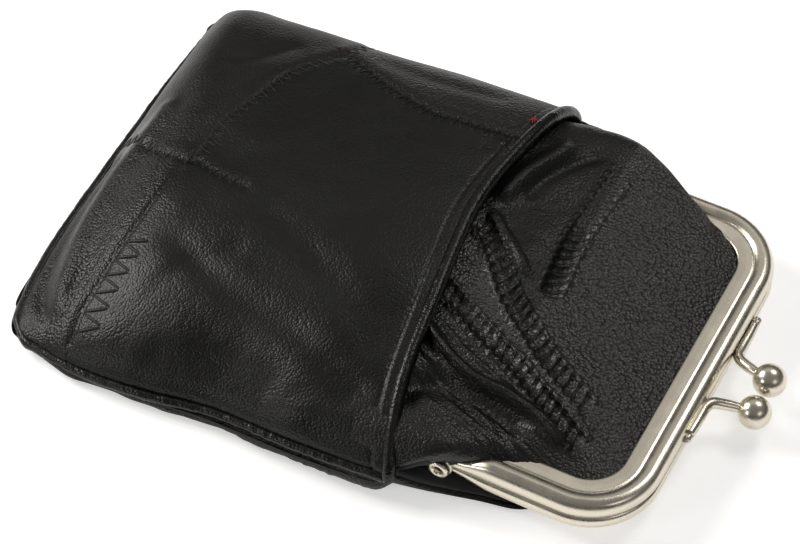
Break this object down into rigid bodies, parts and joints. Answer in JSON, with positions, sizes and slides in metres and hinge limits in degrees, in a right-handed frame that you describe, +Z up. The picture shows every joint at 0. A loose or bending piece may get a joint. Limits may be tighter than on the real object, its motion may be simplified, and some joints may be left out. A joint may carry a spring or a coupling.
{
  "type": "coin purse",
  "caption": "Soft leather coin purse with a hinged kiss-lock metal frame, a lined coin compartment and an open slip pocket on its front.",
  "frame": {"origin": "bottom centre of the bounding box, on the surface that the back of the purse lies on", "axes": "+Z up out of the slip pocket's face, +Y from the closed end of the bag to the clasp, +X to the near side"},
  "size_m": [0.107, 0.158, 0.0229],
  "materials": {
    "leather": "soft black leather with a fine pebble grain, satin gloss and shallow creases",
    "edge_leather": "black leather drawn tight round an edge, glossier than the panels",
    "nickel_plate": "bright nickel plate, slightly warm, smooth",
    "solder": "plated solder, a little duller than the frame",
    "lining_cloth": "thin plain-woven black lining cloth, matt",
    "paper_cord": "twisted brown paper cord, matt"
  },
  "bodies": {
    "bag": {"back_frame": "nickel_plate", "back_channel_cord": "paper_cord", "near_hinge_rivet": "nickel_plate", "far_hinge_rivet": "nickel_plate", "back_clasp_wire": "nickel_plate", "back_clasp_ball": "nickel_plate", "back_wire_solder": "solder", "back_patch_closed_end": "leather", "back_patch_middle": "leather", "back_patch_mouth": "leather", "pocket_patch_main": "leather", "pocket_patch_near_corner": "leather", "pocket_patch_far_corner": "leather", "pocket_patch_far_side": "leather", "pouch_front_under_pocket": "leather", "pouch_patch_near": "leather", "pouch_patch_middle": "leather", "pouch_patch_far": "leather", "pouch_patch_shoulder": "leather", "pocket_welt": "edge_leather", "seam_piping": "edge_leather", "pocket_lining": "lining_cloth", "coin_lining_front": "lining_cloth", "coin_lining_back": "lining_cloth", "mouth_lining_back": "lining_cloth"},
    "front_half": {"front_frame": "nickel_plate", "front_channel_cord": "paper_cord", "front_clasp_wire": "nickel_plate", "front_clasp_ball": "nickel_plate", "front_wire_solder": "solder", "mouth_patch_near": "leather", "mouth_patch_middle": "leather", "mouth_patch_far": "leather", "mouth_lining_front": "lining_cloth"}
  },
  "joints": [
    {"name": "frame_hinge", "type": "hinge", "parent": "bag", "child": "front_half", "pos_m": [0, 0.02392, 0.0075], "axis": [1, 0, 0], "range_deg": [0, 90]}
  ]
}
